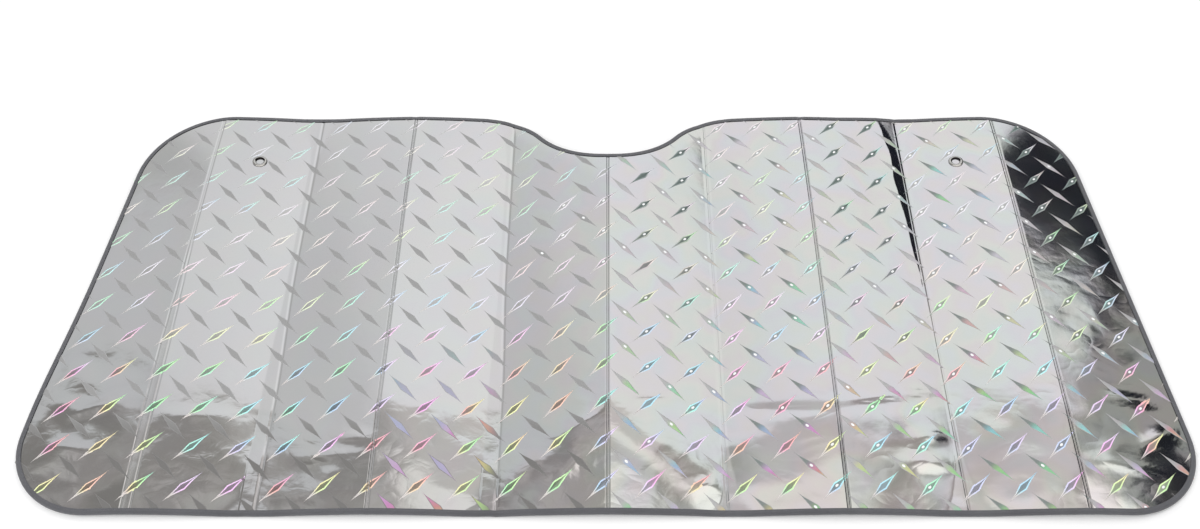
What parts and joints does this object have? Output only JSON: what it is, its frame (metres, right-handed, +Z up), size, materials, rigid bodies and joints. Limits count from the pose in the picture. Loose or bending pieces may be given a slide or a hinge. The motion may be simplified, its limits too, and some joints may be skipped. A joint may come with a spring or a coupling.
{
  "type": "windscreen sunshade",
  "caption": "Accordion-folded windscreen sunshade of tread-patterned metallised foam laminate, with a bound edge, a mirror notch and eyelets for suction cups.",
  "frame": {"origin": "middle of the outline, level with the lowest tape", "axes": "+X to the right along the shade's width, +Y towards the edge with the mirror notch, +Z up out of the shiny face"},
  "size_m": [1.2992, 0.6, 0.0284],
  "materials": {
    "foil_laminate": "bright metallised film with a rainbow tread pattern over thin foam",
    "binding_tape": "woven slate grey tape",
    "eyelet_nickel": "nickel plated"
  },
  "bodies": {
    "root": {"shade_sheet": "foil_laminate", "edge_binding": "binding_tape", "eyelet_left": "eyelet_nickel", "eyelet_right": "eyelet_nickel", "eyelet_washer_left": "eyelet_nickel", "eyelet_washer_right": "eyelet_nickel"}
  },
  "joints": []
}
